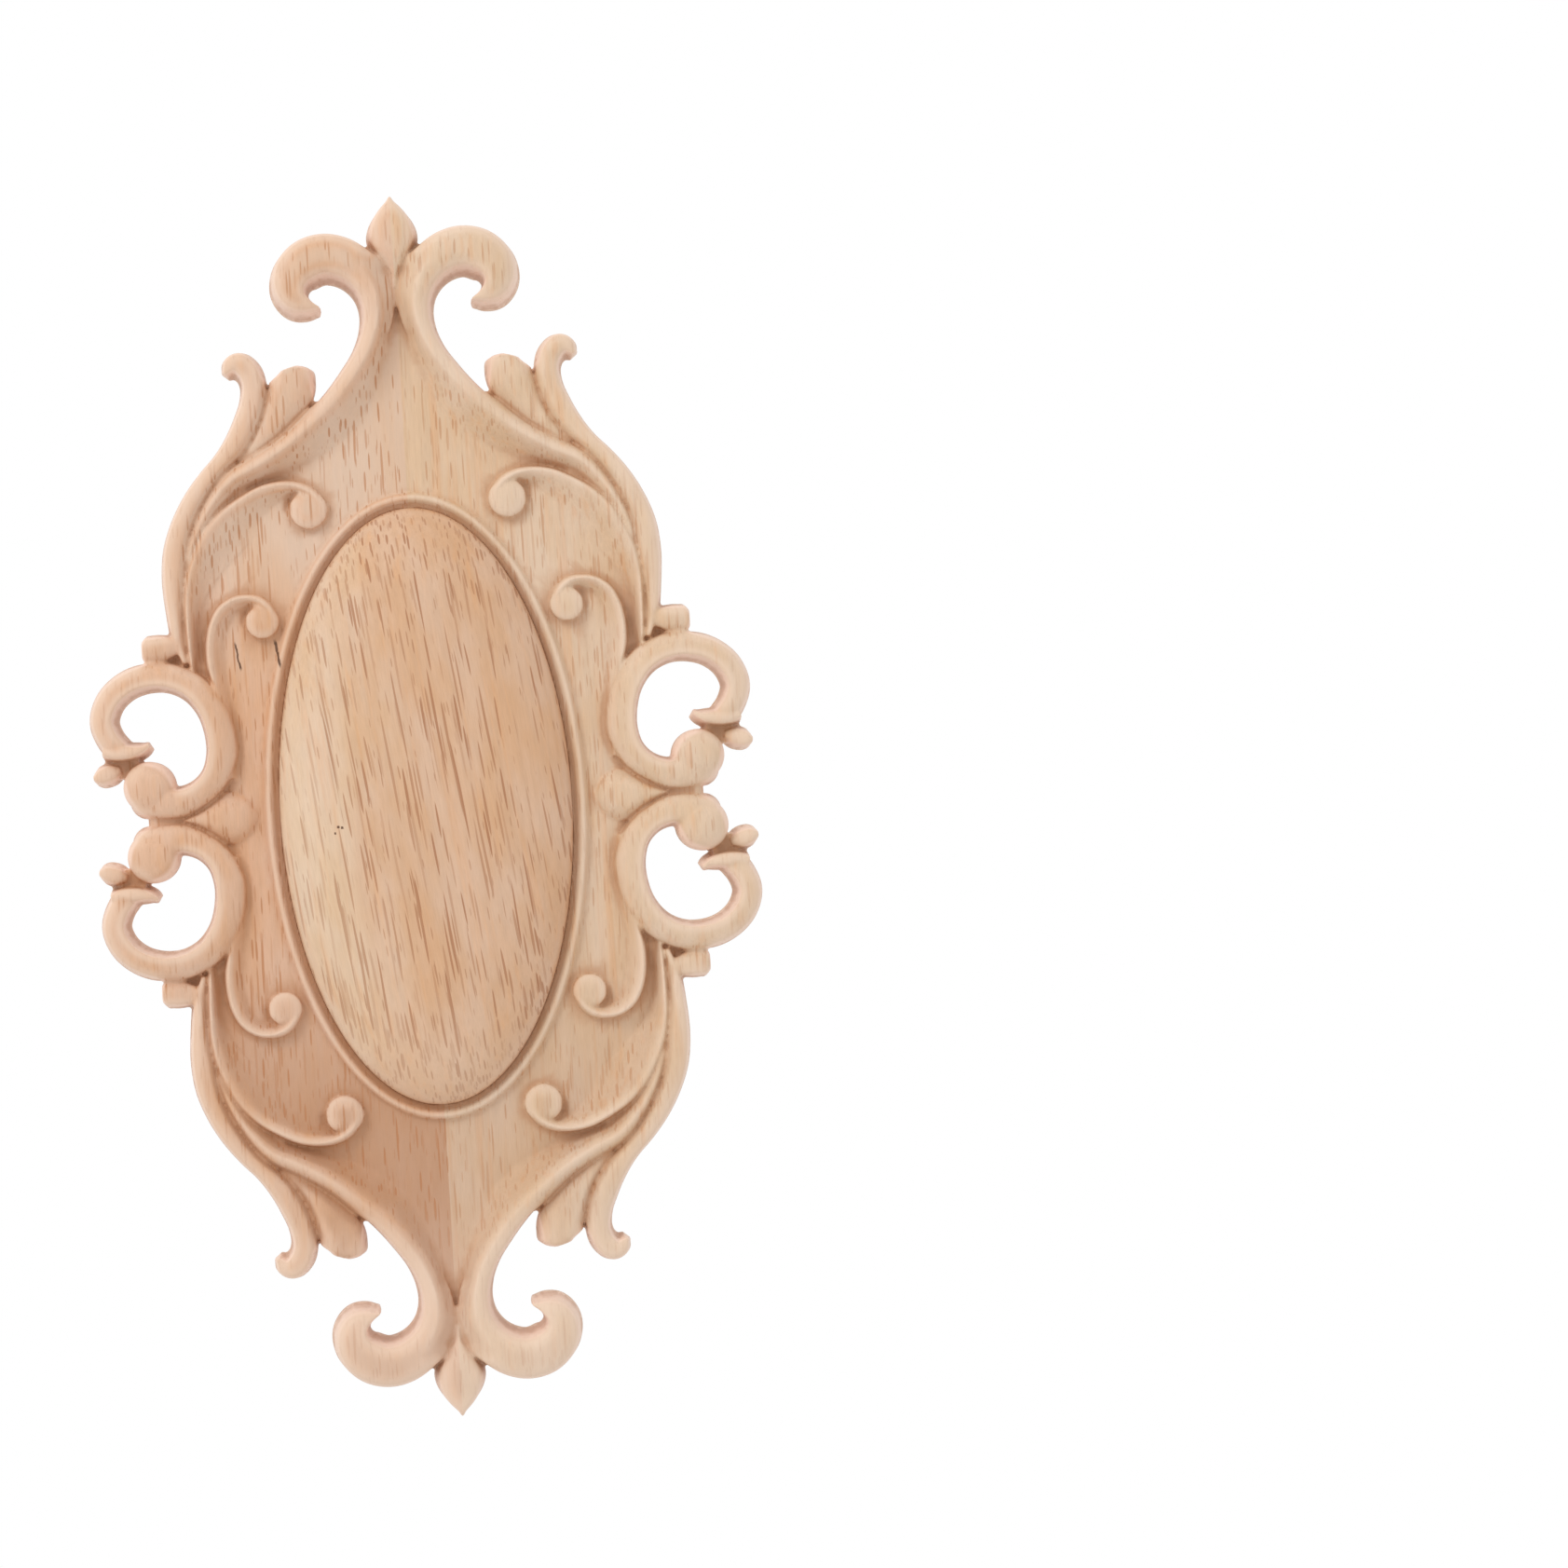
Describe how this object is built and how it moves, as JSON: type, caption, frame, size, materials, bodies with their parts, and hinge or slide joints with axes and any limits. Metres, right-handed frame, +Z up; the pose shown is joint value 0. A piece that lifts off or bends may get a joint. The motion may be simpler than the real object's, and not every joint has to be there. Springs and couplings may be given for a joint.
{
  "type": "carved wood applique",
  "caption": "Upright pierced wood applique of scrolls, leaves and curls round a long domed oval boss, flat at the back, for fixing to furniture, a door or a wall.",
  "frame": {"origin": "centre of the flat back, in the plane that is glued to the furniture or wall", "axes": "+Z up along the applique's length, +Y out of the flat back, so that the carved face looks along -Y"},
  "size_m": [0.1202, 0.014, 0.22],
  "materials": {
    "carved_frame_wood": "raw sanded rubberwood, matt, two staves glued edge to edge",
    "oval_boss_wood": "raw sanded rubberwood, matt"
  },
  "bodies": {
    "root": {"carved_frame": "carved_frame_wood", "oval_boss": "oval_boss_wood"}
  },
  "joints": []
}
